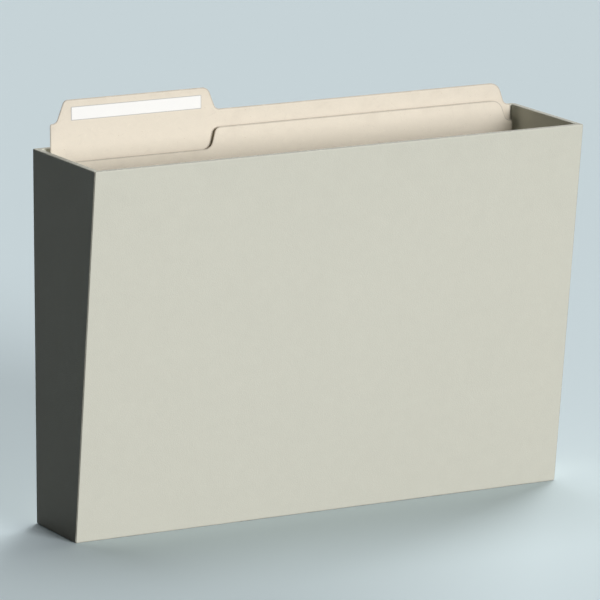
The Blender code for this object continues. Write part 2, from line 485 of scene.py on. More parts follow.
class Finish(Nodes):
    """A Principled material, and the patterns that its maker draws on."""

    def __init__(self, name):
        self.material = bpy.data.materials.new(name)
        self.material.use_nodes = True
        super().__init__(self.material.node_tree)
        self.shader = self.tree.nodes["Principled BSDF"]

    def surface(self, **inputs):
        """Feed the shader's sockets, named with underscores for spaces."""
        for name, value in inputs.items():
            self.feed(self.shader.inputs[name.replace("_", " ")], value)

    def object_place(self):
        """The place in the piece's own coordinates, in metres."""
        return self.node("ShaderNodeTexCoord").outputs["Object"]

    def sheet_place(self):
        """The place on the flat sheet, in metres, as its UV map keeps it."""
        return self.node("ShaderNodeTexCoord").outputs["UV"]

    def axes(self, place):
        """The three numbers of a place."""
        split = self.node("ShaderNodeSeparateXYZ", inputs={0: place})
        return [Reading(self, output) for output in split.outputs]

    def stretched(self, place, scale, turn=(0, 0, 0)):
        """A place turned and then scaled axis by axis, in cells a metre."""
        turned = self.node("ShaderNodeMapping", {"vector_type": "POINT"}, {
            "Vector": place, "Rotation": turn,
        })
        return self.node("ShaderNodeMapping", {"vector_type": "POINT"}, {
            "Vector": turned.outputs[0], "Scale": scale,
        }).outputs[0]

    def noise(self, place, scale, detail=2.0, roughness=0.5):
        """Soft noise from nought to one, with scale cells a metre."""
        return self.reading("ShaderNodeTexNoise", None, {
            "Vector": place, "Scale": scale, "Detail": detail, "Roughness": roughness,
        })

    def strands(self, place, cells, turn, detail=2.0):
        """Noise drawn out into strands that are turned in the sheet's plane."""
        return self.noise(self.stretched(place, cells, (0, 0, turn)), 1.0, detail)

    def cells(self, place, scale, smoothness):
        """Distance from the middle of the nearest rounded cell."""
        return self.reading("ShaderNodeTexVoronoi", {"feature": "SMOOTH_F1"}, {
            "Vector": place, "Scale": scale, "Smoothness": smoothness,
        })

    def creases(self, place, scale):
        """Distance from the nearest border between cells of uneven outline."""
        shaken = self.node("ShaderNodeTexNoise", None, {"Vector": place, "Scale": scale, "Detail": 1.0})
        moved = self.node("ShaderNodeVectorMath", {"operation": "MULTIPLY_ADD"}, {
            0: shaken.outputs["Color"], 1: (CREASE_SHAKE_SHARE / scale,) * 3, 2: place,
        })
        return self.reading("ShaderNodeTexVoronoi", {"feature": "DISTANCE_TO_EDGE"}, {
            "Vector": moved.outputs[0], "Scale": scale,
        })

    def tinted(self, colour, shade):
        """A colour times a reading, through Vector Math."""
        scaled = self.node("ShaderNodeVectorMath", {"operation": "SCALE"}, {0: colour, "Scale": shade})
        return scaled.outputs[0]

    def mixed(self, share, colour, other):
        """Two colours mixed by a reading."""
        return self.node("ShaderNodeMix", {"data_type": "RGBA"}, {
            MIX_SHARE: share, MIX_FIRST: colour, MIX_SECOND: other,
        }).outputs[MIX_RESULT]

    def relief(self, height, distance, below=None):
        """A normal from a height of nought to one, raised by a distance in metres."""
        inputs = {"Height": height, "Distance": distance, "Strength": 1.0}
        if below is not None:
            inputs["Normal"] = below
        return self.node("ShaderNodeBump", None, inputs).outputs[0]


def opaque(colour):
    """A colour with a full alpha."""
    return (*colour, 1.0)


# Plastic of the panels

def holder_distances(finish, place):
    """Distances from the holder's outer faces: ends, rim, foot, back and front."""
    across, along, up = finish.axes(place)
    slope = math.atan2(RIM_DEPTH - FLOOR_DEPTH, 2 * HALF_HEIGHT)
    middle_depth = (RIM_DEPTH + FLOOR_DEPTH) / 2 * math.cos(slope)
    ends = HALF_WIDTH - abs(across)
    front = along * math.cos(slope) + up * math.sin(slope) + middle_depth
    return ends, HALF_HEIGHT - up, up + HALF_HEIGHT, -along, front


def middle_one(one, other, third):
    """The middle one of three readings."""
    return one.least(other).most(one.most(other).least(third))


def corner_distance(ends, rim, foot, back, front):
    """Distance from the nearest outer corner line.

    A point of an outer face is at nought from that face, so the middle one of
    its three distances, across, up and along, is the one from the corner.
    """
    return middle_one(ends, rim.least(foot), back.least(front))


def seam_distance(ends, foot, back, front):
    """Distance from the nearest mitre seam.

    A mitre lies as far from one outer face as from the next, so the distance is
    the middle one of the three less the smallest.
    """
    deep = back.least(front)
    return middle_one(ends, foot, deep) - ends.least(foot).least(deep)


def inside_share(ends, foot, back, front):
    """One on the pocket's inner faces, nought on the outer ones."""
    share = ends.rising(*INSIDE_BAND) * foot.rising(*INSIDE_BAND)
    return share * back.rising(*INSIDE_BAND) * front.rising(*INSIDE_BAND)


def hairlines(finish, place, turn, cells, length_cells, width):
    """Long thin marks: the level line of noise drawn out along one turned axis."""
    drawn = finish.stretched(place, (cells, cells, length_cells), turn)
    line = abs(finish.noise(drawn, 1.0, 1.0) - 0.5).falling(0, width)
    patches = finish.noise(place, *MARK_PATCHES).rising(0.52, 0.66)
    return line * patches


def keyhole_rub(finish, place, patches):
    """Rubbed patches round the back panel's two keyholes, where screw heads have slid."""
    across, along, up = finish.axes(place)
    aside = abs(across) - KEYHOLE_OFFSET
    above = up - (HALF_HEIGHT - KEYHOLE_MIDDLE_BELOW_RIM)
    reach = finish.math("SQRT", aside * aside + above * above * KEYHOLE_RUB_SQUASH)
    rubbed = reach.falling(*KEYHOLE_RUB_BAND) * patches
    return rubbed * (-along).falling(*BACK_PANEL_BAND)


def make_panel_plastic(settings):
    """Warm grey plastic: fine grain, faint cloudiness, soiled seams, a rim top darkened partly by soil and
    partly as painted shade, rubbed edges, scuffs and dust.
    """
    finish = Finish("grained_plastic")
    place = finish.object_place()
    ends, rim, foot, back, front = holder_distances(finish, place)
    corner = corner_distance(ends, rim, foot, back, front)
    inside = inside_share(ends, foot, back, front)

    clouds = finish.noise(place, *PLASTIC_CLOUDS) - 0.5
    mottle = finish.noise(place, *PLASTIC_MOTTLE) - 0.5
    speckle = finish.noise(place, *PLASTIC_SPECKLE) - 0.5
    patches = finish.noise(place, *WEAR_PATCHES)
    chips = finish.noise(place, *WEAR_CHIPS)

    rubbed = (corner - (patches + chips - 0.75) * EDGE_RUB_WANDER).falling(0, EDGE_RUB)
    mouth = rim.falling(*MOUTH_BAND)
    sawn = rim.falling(*SAWN_BAND)
    seam_soil_and_rim_shade = seam_distance(ends, foot, back, front).falling(*SEAM_SOIL_BAND)
    # The rim's top face is darkened as well: partly soil, partly painted shade that keeps it from reading
    # lighter than the front
    seam_soil_and_rim_shade = (seam_soil_and_rim_shade * patches.rising(0.2, 0.6)).most(sawn * 0.85 * chips.rising(0.15, 0.5))
    handled = rim.falling(*HANDLED_BAND) * patches.rising(0.42, 0.68)
    slid = hairlines(finish, place, *SLIDE_MARKS) * inside * rim.falling(*SLIDE_BAND)
    marks = slid + hairlines(finish, place, *SCUFFS) + hairlines(finish, place, *NICKS)
    marks = marks.least(1.0)
    dust = foot.falling(*DUST_BAND) * inside
    dust = dust * finish.noise(place, *DUST_CLUMPS).rising(0.35, 0.75)
    keyed = keyhole_rub(finish, place, chips.rising(0.35, 0.6))
    wear = settings.wear

    shade = 1.045 + clouds * 0.035 + mottle * 0.06 + speckle * 0.07
    shade = shade + rubbed * (0.04 * wear) + marks * (0.07 * wear) - handled * (0.035 * wear)
    shade = shade - dust * 0.12 - seam_soil_and_rim_shade * (0.5 * wear) + keyed * (0.08 * wear)
    base = finish.tinted(settings.colour, shade)
    # Dust, seam soil and the rim's painted shade are mixed towards the grime colour
    grime_and_rim_shade = finish.mixed(dust.most(seam_soil_and_rim_shade) * 0.35, base, opaque(GRIME_AND_RIM_SHADE_COLOUR))

    roughness = 0.56 + clouds * 0.06 + speckle * 0.1 + mottle * 0.06
    roughness = roughness - rubbed * (0.16 * wear) + mouth * 0.1 - marks * (0.14 * wear)
    roughness = roughness - handled * (0.08 * wear) + dust.most(seam_soil_and_rim_shade) * 0.25 - keyed * (0.12 * wear)

    pebbles = finish.creases(place, PEBBLE_CELLS).rising(0.0, 0.26)
    grain = finish.noise(place, *PLASTIC_GRAIN) * 0.35 + pebbles * 0.65
    grain = grain * (1 - rubbed * 0.7) * (1 - mouth * 0.6) - marks * (0.5 * wear)
    saw = finish.reading("ShaderNodeTexNoise", {"noise_dimensions": "1D"}, {
        "W": finish.math("ADD", *finish.axes(place)[:2]), "Scale": SAW_CELLS, "Detail": 2.0,
    })
    height = grain + saw * sawn * 0.8
    finish.surface(
        Base_Color=grime_and_rim_shade,
        Roughness=roughness,
        Specular_IOR_Level=0.25,
        Normal=finish.relief(height, settings.grain_depth),
    )
    return finish.material


def make_bond_cement(settings):
    """Set cement: the panels' colour a little darker and glossier, with small voids whose darkening is
    painted shade.
    """
    finish = Finish("bond_cement")
    place = finish.object_place()
    lumps = finish.noise(place, *CEMENT_LUMPS)
    voids_and_their_shade = finish.cells(place, VOID_CELLS, 0.2).falling(0.1, 0.3)
    # The voids are darkened as painted shade, as well as sunk in the relief
    shade = 0.62 + lumps * 0.24 - voids_and_their_shade * 0.18
    finish.surface(
        Base_Color=finish.tinted(settings.colour, shade),
        Roughness=0.32 + lumps * 0.2,
        Normal=finish.relief(lumps - voids_and_their_shade * 0.5, CEMENT_RELIEF),
    )
    return finish.material


# Card and paper

def make_manila_card(settings):
    """Buff card: pressed fibres, flecks, soft mottling, a paler cut edge, handling marks, and a dark line
    along the cut edge that is partly handling soil and partly painted edge shade.
    """
    finish = Finish("fibrous_card")
    place = finish.sheet_place()
    edge = finish.reading("ShaderNodeAttribute", {"attribute_name": "edge_distance"}, None, ATTRIBUTE_NUMBER)

    clouds = finish.noise(place, *CARD_CLOUDS) - 0.5
    mottle = finish.noise(place, *CARD_MOTTLE) - 0.5
    tooth = finish.noise(place, *CARD_TOOTH)
    straws = [finish.strands(place, STRAW_CELLS, turn).rising(0.64, 0.74) for turn in STRAW_TURNS]
    fibres = straws[0] + straws[1] + straws[2]
    brown = finish.noise(place, *CARD_FLECKS).rising(0.745, 0.79)
    pale = finish.strands(place, PALE_STRAW_CELLS, PALE_STRAW_TURN, 1.0).rising(0.7, 0.77)
    soiled = finish.noise(place, *CARD_SOIL).rising(0.45, 0.7) * edge.falling(*SOILED_BAND)
    cut = edge.falling(*CUT_BAND)
    burred = edge.falling(*BURR_BAND) * finish.noise(place, *CARD_BURR).rising(0.4, 0.65)
    # A dark line just inside the cut edge: partly soil from handling, partly painted shade that outlines
    # each leaf
    thumbed_and_edge_shade = edge.falling(*EDGE_SOIL_AND_SHADE_BAND) * finish.noise(place, *CARD_EDGE_SOIL_AND_SHADE).rising(0.1, 0.5)

    shade = 0.92 + clouds * 0.03 + mottle * 0.075 - fibres * 0.028 + pale * 0.035 + (tooth - 0.5) * 0.09
    shade = shade - soiled * 0.03 + cut * 0.05 + burred * 0.03 - thumbed_and_edge_shade * 0.26
    base = finish.tinted(settings.card_colour, shade)
    base = finish.mixed(brown * 0.5, base, opaque(FLECK_COLOUR))
    base = finish.mixed(soiled * 0.12, base, opaque(HAND_SOIL_COLOUR))

    height = tooth * 0.7 + (straws[0] + straws[1]) * 0.35 + mottle * 0.5 + burred * 0.6
    finish.surface(
        Base_Color=base,
        Roughness=0.84 + mottle * 0.12 - soiled * 0.06 + cut * 0.08,
        Specular_IOR_Level=0.25,
        Normal=finish.relief(height, CARD_RELIEF),
    )
    return finish.material


def make_label_paper(settings):
    """Blank white label: smooth paper with a faint tooth and a thin grey border line."""
    finish = Finish("bordered_label")
    place = finish.sheet_place()
    across, up = finish.axes(place)[:2]
    edge = across.least(LABEL_WIDTH - across).least(up).least(LABEL_HEIGHT - up)
    clouds = finish.noise(place, *LABEL_CLOUDS) - 0.5
    tooth = finish.noise(place, *LABEL_TOOTH)
    strands = finish.strands(place, LABEL_STRAND_CELLS, LABEL_STRAND_TURN).rising(0.62, 0.74)
    border = edge.falling(*BORDER_BAND) * finish.noise(place, *BORDER_INK).rising(0.1, 0.4)
    shade = 0.95 + clouds * 0.02 + (tooth - 0.5) * 0.03 - strands * 0.015
    base = finish.tinted(settings.label_colour, shade)
    base = finish.mixed(border * 0.6, base, opaque(BORDER_COLOUR))
    finish.surface(
        Base_Color=base,
        Roughness=0.62 + (tooth - 0.5) * 0.15,
        Specular_IOR_Level=0.35,
        Normal=finish.relief(tooth * 0.6 + strands * 0.3, LABEL_RELIEF),
    )
    return finish.material


# Surfaces as whole arrays

def unit(vectors):
    """Vectors of length one in the same directions."""
    return vectors / np.linalg.norm(vectors, axis=-1, keepdims=True)


def grid_faces(rows, columns):
    """Corner indices of the squares of a grid whose points are numbered row by row."""
    index = np.arange(rows * columns).reshape(rows, columns)
    corners = (index[:-1, :-1], index[1:, :-1], index[1:, 1:], index[:-1, 1:])
    return np.stack(corners, axis=-1).reshape(-1, 4)


def rim_faces(rows, columns):
    """Squares that close the rim between a grid and its twin, numbered after it.

    Each runs along one side of the grid and across to the twin, turned so that
    it faces away from the sheet.
    """
    index = np.arange(rows * columns).reshape(rows, columns)
    sides = (index[0], index[::-1, 0], index[-1, ::-1], index[:, -1])
    near = np.concatenate([side[:-1] for side in sides])
    far = np.concatenate([side[1:] for side in sides])
    twin = rows * columns
    return np.stack([near, far, far + twin, near + twin], axis=-1)


def grid_normals(middle):
    """Unit normals of a grid of points: the product of its two slopes."""
    down = np.gradient(middle, axis=0)
    across = np.gradient(middle, axis=1)
    return unit(np.cross(down, across))


def sheet_shell(middle, thickness, ease):
    """A closed sheet round its middle surface.

    Every point moves half the thickness along the surface's normal to either
    side. The outermost ring moves less by the ease, so the cut edge is chamfered.
    """
    half = np.full(middle.shape[:2], thickness / 2)
    half[[0, -1], :] = thickness / 2 - ease
    half[:, [0, -1]] = thickness / 2 - ease
    offset = grid_normals(middle) * half[..., None]
    points = np.concatenate([(middle + offset).reshape(-1, 3), (middle - offset).reshape(-1, 3)])
    rows, columns = middle.shape[:2]
    front = grid_faces(rows, columns)
    back = front[:, ::-1] + rows * columns
    return points, np.concatenate([front, back, rim_faces(rows, columns)])


def add_piece(name, points, faces, material):
    """A mesh object at the origin, shaded smooth with its sharp edges kept."""
    if name in bpy.data.objects:
        raise RuntimeError(name + " is already made")
    mesh = bpy.data.meshes.new(name)
    mesh.from_pydata(points, [], faces)
    mesh.shade_smooth()
    mesh.set_sharp_from_angle(angle=SMOOTH_ANGLE)
    mesh.materials.append(material)
    piece = bpy.data.objects.new(name, mesh)
    bpy.context.scene.collection.objects.link(piece)
    return piece


def map_sheet(piece, flat):
    """Keep the flat sheet's own coordinates as a UV map, in metres."""
    mesh = piece.data
    flat = np.tile(flat.reshape(-1, 2), (2, 1))
    corner_points = np.empty(len(mesh.loops), dtype=np.int32)
    mesh.loops.foreach_get("vertex_index", corner_points)
    layer = mesh.uv_layers.new(name="flat_sheet")
    layer.uv.foreach_set("vector", flat[corner_points].astype(np.float32).ravel())


def mark_edge(piece, edge):
    """Keep each point's distance from the sheet's cut edge as an attribute."""
    distance = piece.data.attributes.new("edge_distance", "FLOAT", "POINT")
    distance.data.foreach_set("value", np.tile(edge.ravel(), 2).astype(np.float32))


# Bond lines

def meeting_point(*planes):
    """The point that three planes share, each a normal and a distance."""
    normals = np.array([normal for normal, distance in planes])
    return np.linalg.solve(normals, np.array([distance for normal, distance in planes]))


def holder_planes():
    """Outward normals and distances of the holder's outer faces."""
    front = unit(np.array((0, -2 * HALF_HEIGHT, FLOOR_DEPTH - RIM_DEPTH)))
    return {
        "back": (np.array((0.0, 1.0, 0.0)), 0.0),
        "front": (front, float(front @ (0, -RIM_DEPTH, HALF_HEIGHT))),
        "bottom": (np.array((0.0, 0.0, -1.0)), HALF_HEIGHT),
        "left": (np.array((-1.0, 0.0, 0.0)), HALF_WIDTH),
        "right": (np.array((1.0, 0.0, 0.0)), HALF_WIDTH),
        "rim": (np.array((0.0, 0.0, 1.0)), HALF_HEIGHT - BOND_RECESS),
    }


def bond_section(depth, half_opening):
    """Section of a bond line, as points (inwards, sideways) round its outline.

    A thin strip runs inwards from its recessed tip to the inner corner. There it
    opens into a fillet: a circle that touches both inner faces.
    """
    half = BOND_THICKNESS / 2
    reach = BOND_FILLET
    neck = depth + half / math.tan(half_opening)
    radius = reach * math.tan(half_opening)
    centre = depth + reach / math.cos(half_opening)
    turns = np.linspace(1, -1, BOND_FILLET_STEPS + 1) * (math.pi / 2 - half_opening)
    fillet = np.stack([centre - radius * np.cos(turns), radius * np.sin(turns)], axis=-1)
    upper = np.array([(BOND_RECESS, 0), (BOND_RECESS + half, half), (neck, half)])
    lower = upper[:0:-1] * (1, -1)
    return np.concatenate([upper, fillet, lower])


def bond_line(faces, side, neighbour, starts, ends):
    """A bond line between two panels.

    Its section is carried along the seam: a section point lies a share of the
    way from the outer corner line to the inner one, its path is the straight
    line between the seam's two ends at that share, and it stands off the mitre
    plane by its sideways part.
    """
    inner = {name: (plane[0], plane[1] - PANEL_THICKNESS) for name, plane in faces.items()}
    inner["rim"] = faces["rim"]
    outer_ends = [meeting_point(faces[side], faces[neighbour], faces[end]) for end in (starts, ends)]
    inner_ends = [meeting_point(inner[side], inner[neighbour], inner[end]) for end in (starts, ends)]
    sideways = unit(faces[neighbour][0] - faces[side][0])
    half_opening = (math.pi - math.acos(float(faces[side][0] @ faces[neighbour][0]))) / 2
    depth = PANEL_THICKNESS / math.sin(half_opening)
    section = bond_section(depth, half_opening)
    share = section[:, :1] / depth
    first, last = [
        outer + share * (inner_end - outer) for outer, inner_end in zip(outer_ends, inner_ends)
    ]
    along = np.linspace(0, 1, BOND_LENGTH_STEPS + 1)[:, None, None]
    return first + along * (last - first) + section[:, 1:] * sideways


def tube_mesh(rings):
    """Points and faces of a closed body through like rings, with one flat face at each end."""
    count, size = rings.shape[:2]
    index = np.arange(count * size).reshape(count, size)
    following = np.roll(index, -1, axis=1)
    corners = (index[:-1], following[:-1], following[1:], index[1:])
    walls = np.stack(corners, axis=-1).reshape(-1, 4)
    return rings.reshape(-1, 3), [*walls.tolist(), index[0, ::-1].tolist(), index[-1].tolist()]


# Card

def rounded_path(corners, radii):
    """Points along a path whose inner corners are arcs.

    Each arc's circle touches both sides of its corner: its centre lies on the
    bisector, and its points run evenly in angle from one touching point to the
    other.
    """
    corners = np.array(corners)
    back = unit(corners[:-2] - corners[1:-1])
    ahead = unit(corners[2:] - corners[1:-1])
    half_opening = np.arccos(np.sum(back * ahead, axis=1)) / 2
    bisector = unit(back + ahead)
    tangent = unit(ahead - back)
    radii = np.array(radii)[:, None, None]
    centre = corners[1:-1, None] + bisector[:, None] * radii / np.sin(half_opening)[:, None, None]
    turns = np.linspace(-1, 1, CORNER_STEPS) * (math.pi / 2 - half_opening)[:, None]
    arc = tangent[:, None] * np.sin(turns)[..., None] - bisector[:, None] * np.cos(turns)[..., None]
    return (centre + radii * arc).reshape(-1, 2)


def path_distance(points, path):
    """Distance from each point to the nearest place on a path of straight pieces.

    A point's share of the way along a piece, held between nought and one, gives
    the piece's nearest place to it.
    """
    starts, steps = path[:-1], np.diff(path, axis=0)
    away = points[..., None, :] - starts
    share = np.clip((away * steps).sum(axis=-1) / (steps ** 2).sum(axis=-1), 0, 1)
    return np.linalg.norm(away - share[..., None] * steps, axis=-1).min(axis=-1)


def leaf_top(levels, steps):
    """Top edge of a leaf from its levels and the sloping steps between them."""
    corners = [(-HALF_FOLDER, FOLD_CENTRE), (-HALF_FOLDER, levels[0])]
    radii = [SHOULDER_RADIUS]
    for (middle, run, left_radius, right_radius), before, after in zip(steps, levels[:-1], levels[1:]):
        corners += [(middle - run / 2, before), (middle + run / 2, after)]
        radii += [left_radius, right_radius]
    corners += [(HALF_FOLDER, levels[-1]), (HALF_FOLDER, FOLD_CENTRE)]
    arcs = rounded_path(corners, [*radii, SHOULDER_RADIUS])
    return np.concatenate([corners[:1], arcs, corners[-1:]])


def leaf_tops():
    """Top edges of the back and the front leaf."""
    tab = BACK_LEAF_HIGH.z
    body = tab - BACK_STEP
    high = FRONT_LEAF_HIGH.z
    low = high - FRONT_STEP
    back = leaf_top((body, tab, body, body - BACK_STEP), (TAB_START, TAB_END, LEAF_END))
    return back, leaf_top((low, high, low), (FRONT_RISE, LEAF_END))


def card_columns(back, front):
    """Places across the card: even ones, those of both top edges, and the chamfer's."""
    inset = HALF_FOLDER - CARD_EDGE_EASE
    even = np.arange(-inset, inset, CARD_COLUMN_SPACING)
    places = np.concatenate([even, back[:, 0], front[:, 0]])
    places = np.unique(np.round(places / CARD_GRID)) * CARD_GRID
    places = places[np.abs(places) < inset - CARD_GRID]
    return np.concatenate([[-HALF_FOLDER, -inset], places, [inset, HALF_FOLDER]])


def leaf_bow(across, up, amount):
    """How far a leaf bends out of its plane.

    It grows with the square of the height above the fold, and a long wave and a
    shorter one across the leaf vary it.
    """
    height = np.clip((up - FOLD_CENTRE) / (BACK_LEAF_HIGH.z - FOLD_CENTRE), 0, None)
    wave = BOW_EVEN_SHARE + LONG_WAVE_SHARE * np.cos(across * (math.tau / LONG_WAVE) + LONG_WAVE_START)
    wave = wave + SHORT_WAVE_SHARE * np.sin(across * (math.tau / SHORT_WAVE) + SHORT_WAVE_START)
    return amount * height ** 2 * wave


def score_relief(up, depth):
    """Score lines: dents of rounded section at even heights above the fold."""
    away = (up[..., None] - SCORE_LINES) / SCORE_HALF_WIDTH
    return depth * np.exp(-away ** 2).sum(axis=-1)


def upright_rows(top, bottom):
    """Heights from each column's top edge down to the bottom.

    Below the cut edge they start at its chamfer, grow apart in a steady ratio
    through the edge's band and are even from there down.
    """
    close = np.geomspace(CARD_EDGE_EASE, EDGE_BAND, EDGE_ROWS)[:, None]
    shares = np.linspace(0, 1, LEAF_ROWS)[1:, None]
    below = top - EDGE_BAND
    return np.concatenate([top[None], top - close, below + (bottom - below) * shares])


def scored_heights():
    """Heights through the score lines, from the topmost down to just above the fold."""
    across_score = np.linspace(-SCORE_REACH, SCORE_REACH, SCORE_ROWS) * SCORE_HALF_WIDTH
    return np.sort((SCORE_LINES[:, None] + across_score).ravel())[::-1]


def card_middle(settings):
    """Middle surface of the card, its flat coordinates and its distance from the cut edge.

    The first parameter runs down the back leaf, round the fold, a half circle, and
    up the front leaf. The second runs across. The first and last rows lie on the
    cut edges, and those near them follow them. Lower down they level out, and
    through the score lines and the fold each row keeps one height.
    """
    back_top, front_top = leaf_tops()
    across = card_columns(back_top, front_top)
    tops = [np.interp(across, *top[1:-1].T) for top in (back_top, front_top)]

    back_up = upright_rows(tops[0], FOLD_CENTRE)
    scored = np.broadcast_to(scored_heights()[:, None], (SCORE_COUNT * SCORE_ROWS, len(across)))
    front_up = upright_rows(tops[1], scored[0] + SCORE_HALF_WIDTH)
    foot = np.full((1, len(across)), FOLD_CENTRE)
    front_up = np.concatenate([front_up, scored, foot])[::-1]
    turns = np.linspace(0, math.pi, FOLD_ROWS + 2)[1:-1, None]
    turns = np.broadcast_to(turns, (FOLD_ROWS, len(across)))

    across_back, across_fold, across_front = [
        np.broadcast_to(across, rows.shape) for rows in (back_up, turns, front_up)
    ]
    back_bow = leaf_bow(across_back, back_up, settings.bow / 2)
    front_bow = leaf_bow(across_front, front_up, -settings.bow)
    front_bow = front_bow + score_relief(front_up, settings.score_depth)

    along = np.concatenate([
        BACK_SHEET + back_bow,
        FOLD_MIDDLE + FOLD_RADIUS * np.cos(turns),
        FRONT_SHEET + front_bow,
    ])
    up = np.concatenate([back_up, FOLD_CENTRE - FOLD_RADIUS * np.sin(turns), front_up])
    quarter = FOLD_RADIUS * math.pi / 2
    unrolled = np.concatenate([
        back_up - FOLD_CENTRE + quarter,
        FOLD_RADIUS * (math.pi / 2 - turns),
        FOLD_CENTRE - quarter - front_up,
    ])
    edge = np.concatenate([
        path_distance(np.stack([across_back, back_up], axis=-1), back_top),
        HALF_FOLDER - np.abs(across_fold),
        path_distance(np.stack([across_front, front_up], axis=-1), front_top),
    ])
    across = np.broadcast_to(across, up.shape)
    return np.stack([across, along, up], axis=-1), np.stack([across, unrolled], axis=-1), edge


# Label

def spread(low, high, count, ease):
    """Even places between two ends, with the chamfer's place next to each end."""
    return np.concatenate([[low], np.linspace(low + ease, high - ease, count), [high]])


def label_middle(settings):
    """Middle surface of the label and its flat coordinates.

    The first parameter runs down and the second across. Each column's half height
    is drawn in near the ends by the corners' circles, and the depth follows the tab.
    """
    columns = int(LABEL_WIDTH / LABEL_COLUMN_SPACING)
    ends = LABEL_CORNER_RADIUS * (1 - np.cos(np.linspace(0, math.pi / 2, CORNER_STEPS)))
    inner = np.linspace(LABEL_LOW.x + LABEL_CORNER_RADIUS, LABEL_HIGH.x - LABEL_CORNER_RADIUS, columns)
    across = np.concatenate([LABEL_LOW.x + ends[:-1], inner, LABEL_HIGH.x - ends[-2::-1]])
    from_end = np.minimum(across - LABEL_LOW.x, LABEL_HIGH.x - across)
    shortfall = np.clip(LABEL_CORNER_RADIUS - from_end, 0, None)
    drawn_in = LABEL_CORNER_RADIUS - np.sqrt(LABEL_CORNER_RADIUS ** 2 - shortfall ** 2)
    half_height = LABEL_HEIGHT / 2 - drawn_in
    share = spread(1.0, -1.0, LABEL_ROWS, -LABEL_EDGE_EASE / half_height.max())[:, None]
    up = (LABEL_HIGH.z + LABEL_LOW.z) / 2 + share * half_height
    across = np.broadcast_to(across, up.shape)
    on_tab = BACK_SHEET + leaf_bow(across, up, settings.bow / 2) - CARD_THICKNESS / 2
    along = on_tab - LABEL_LIFT - LABEL_THICKNESS / 2
    flat = np.stack([across - LABEL_LOW.x, up - LABEL_LOW.z], axis=-1)
    return np.stack([across, along, up], axis=-1), flat


# Operators

class FinishPanels(bpy.types.Operator):
    """Give the five panels their grained plastic"""

    bl_idname = "chart_holder.finish_panels"
    bl_label = "Finish panels"
    bl_options = {"REGISTER", "UNDO"}

    def execute(self, context):
        plastic = make_panel_plastic(context.scene.chart_panels)
        for name in frame["record"]["behaviour"]["bodies"]["holder"]:
            for slot in frame["nodes"][name].material_slots:
                slot.material = plastic
        return {"FINISHED"}


class FillSeams(bpy.types.Operator):
    """Fill the mitre seams between the panels with bond lines"""

    bl_idname = "chart_holder.fill_seams"
    bl_label = "Fill seams"
    bl_options = {"REGISTER", "UNDO"}

    # Two panels and the seam's two ends, in the order that turns its faces outwards
    seams = (
        ("back", "left", "bottom", "rim"),
        ("back", "right", "rim", "bottom"),
        ("front", "left", "rim", "bottom"),
        ("front", "right", "bottom", "rim"),
        ("bottom", "left", "front", "back"),
        ("bottom", "right", "back", "front"),
        ("bottom", "back", "left", "right"),
        ("bottom", "front", "right", "left"),
    )

    def execute(self, context):
        cement = make_bond_cement(context.scene.chart_panels)
        faces = holder_planes()
        for side, neighbour, starts, ends in self.seams:
            body = tube_mesh(bond_line(faces, side, neighbour, starts, ends))
            piece = add_piece("bond_line_" + side + "_" + neighbour, *body, cement)
            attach(piece, "holder")
        return {"FINISHED"}


class MakeFolder(bpy.types.Operator):
    """Make the folder as one sheet of card that bends at its fold"""

    bl_idname = "chart_holder.make_folder"
    bl_label = "Make folder"
    bl_options = {"REGISTER", "UNDO"}

    def execute(self, context):
        settings = context.scene.chart_folder
        middle, flat, edge = card_middle(settings)
        points, faces = sheet_shell(middle, CARD_THICKNESS, CARD_EDGE_EASE)
        card = add_piece("folder_card", points, faces, make_manila_card(settings))
        map_sheet(card, flat)
        mark_edge(card, edge)
        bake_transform(card)
        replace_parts(card, "folder_back_leaf", "folder_bottom_fold", "folder_front_leaf")
        return {"FINISHED"}


class MakeLabel(bpy.types.Operator):
    """Lay the blank label on the folder's tab"""

    bl_idname = "chart_holder.make_label"
    bl_label = "Make label"
    bl_options = {"REGISTER", "UNDO"}

    def execute(self, context):
        settings = context.scene.chart_folder
        middle, flat = label_middle(settings)
        points, faces = sheet_shell(middle, LABEL_THICKNESS, LABEL_EDGE_EASE)
        label = add_piece("tab_label", points, faces, make_label_paper(settings))
        map_sheet(label, flat)
        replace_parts(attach(label, "folder"), "folder_label")
        return {"FINISHED"}


# Stage

def seen_directly(nodes):
    """One for camera, glossy and transmission rays, nought for diffuse ones."""
    path = nodes.node("ShaderNodeLightPath")
    rays = [Reading(nodes, path.outputs[name]) for name in
            ("Is Camera Ray", "Is Glossy Ray", "Is Transmission Ray")]
    return rays[0].most(rays[1]).most(rays[2])


def split_by_ray(nodes, dim, shown, output):
    """Feed an output one shader for diffuse rays and another for what is seen directly."""
    both = nodes.node("ShaderNodeMixShader", None, {
        0: seen_directly(nodes), 1: dim.outputs[0], 2: shown.outputs[0],
    })
    nodes.feed(nodes.tree.nodes[output].inputs["Surface"], both.outputs[0])


def floor_colour(settings):
    """The colour that renders as the backdrop where all the lights reach the floor."""
    level = settings.fill_level
    for name, place in LIGHTS.items():
        level += getattr(settings, name + "_level") * math.sin(math.radians(place[1]))
    return [shade / level for shade in settings.backdrop]


def make_floor_finish(settings):
    """Plain pale floor that throws little light back on the object."""
    finish = Finish("floor_paint")
    shown = finish.node("ShaderNodeBsdfDiffuse", None, {"Color": opaque(floor_colour(settings))})
    dim = finish.node("ShaderNodeBsdfDiffuse", None, {"Color": opaque(DIM_FLOOR_COLOUR)})
    split_by_ray(finish, dim, shown, "Material Output")
    return finish.material


def add_floor(settings):
    """A wide floor under the holder's foot."""
    places = np.linspace(-FLOOR_REACH, FLOOR_REACH, FLOOR_LINES)
    across, along = np.meshgrid(places, places)
    points = np.stack([across, along, np.full_like(across, CAD_BOX[0].z)], axis=-1)
    faces = grid_faces(FLOOR_LINES, FLOOR_LINES)[:, ::-1]
    floor = add_piece("floor", points.reshape(-1, 3), faces, make_floor_finish(settings))


